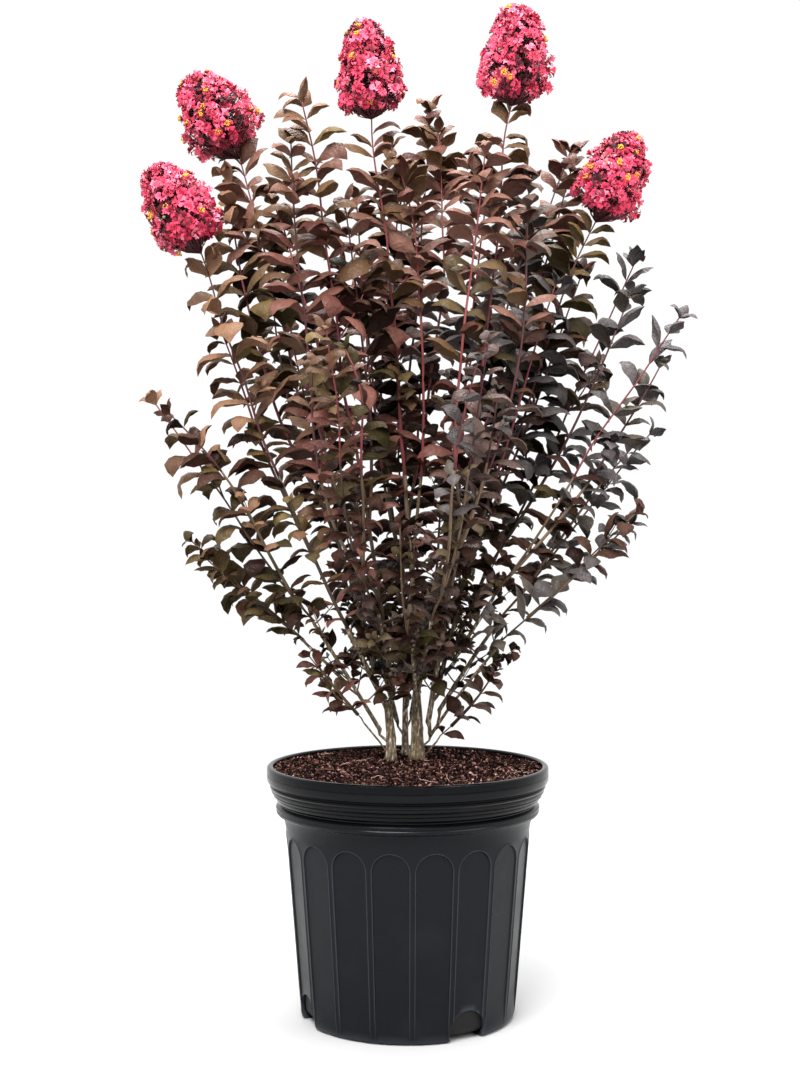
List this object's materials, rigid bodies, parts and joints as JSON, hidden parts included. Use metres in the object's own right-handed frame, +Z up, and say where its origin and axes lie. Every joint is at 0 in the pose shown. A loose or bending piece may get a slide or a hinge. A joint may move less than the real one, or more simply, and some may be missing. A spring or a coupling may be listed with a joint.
{
  "type": "potted flowering shrub",
  "caption": "Many-stemmed crape myrtle shrub with dark burgundy foliage and coral flower panicles, standing in a fluted black nursery pot.",
  "frame": {"origin": "centre of the pot's flat underside", "axes": "+Z up along the pot's axis, -Y towards the front of the shrub, +X to the right seen from the front"},
  "size_m": [0.5211, 0.4789, 0.9662],
  "materials": {
    "pot_plastic": "satin",
    "potting_mix": "rough",
    "cane_bark": "rough",
    "foliage": "satin",
    "blossom": "matte"
  },
  "bodies": {
    "root": {"bough_back_left": "cane_bark", "bough_back_low_left": "cane_bark", "bough_back_low_right": "cane_bark", "bough_back_right": "cane_bark", "bough_centre_back": "cane_bark", "bough_front_left": "cane_bark", "bough_front_low": "cane_bark", "bough_front_right": "cane_bark", "bough_left_foot": "cane_bark", "bough_left_inner": "cane_bark", "bough_left_low": "cane_bark", "bough_left_skirt": "cane_bark", "bough_left_top": "cane_bark", "bough_right_back": "cane_bark", "bough_right_far": "cane_bark", "bough_right_foot": "cane_bark", "bough_right_high": "cane_bark", "bough_right_inner": "cane_bark", "bough_right_low": "cane_bark", "bough_right_skirt": "cane_bark", "bough_right_top": "cane_bark", "foliage_back": "foliage", "foliage_back_left": "foliage", "foliage_back_low_left": "foliage", "foliage_back_low_right": "foliage", "foliage_back_right": "foliage", "foliage_centre": "foliage", "foliage_centre_back": "foliage", "foliage_front_left": "foliage", "foliage_front_low": "foliage", "foliage_front_right": "foliage", "foliage_left_foot": "foliage", "foliage_left_high": "foliage", "foliage_left_inner": "foliage", "foliage_left_low": "foliage", "foliage_left_skirt": "foliage", "foliage_left_top": "foliage", "foliage_right_back": "foliage", "foliage_right_far": "foliage", "foliage_right_foot": "foliage", "foliage_right_high": "foliage", "foliage_right_inner": "foliage", "foliage_right_low": "foliage", "foliage_right_skirt": "foliage", "foliage_right_top": "foliage", "panicle_centre": "blossom", "panicle_left_high": "blossom", "panicle_left_top": "blossom", "panicle_right_high": "blossom", "panicle_right_inner": "blossom", "pot": "pot_plastic", "potting_mix": "potting_mix", "trunk_back": "cane_bark", "trunk_centre": "cane_bark", "trunk_left": "cane_bark"}
  },
  "joints": []
}
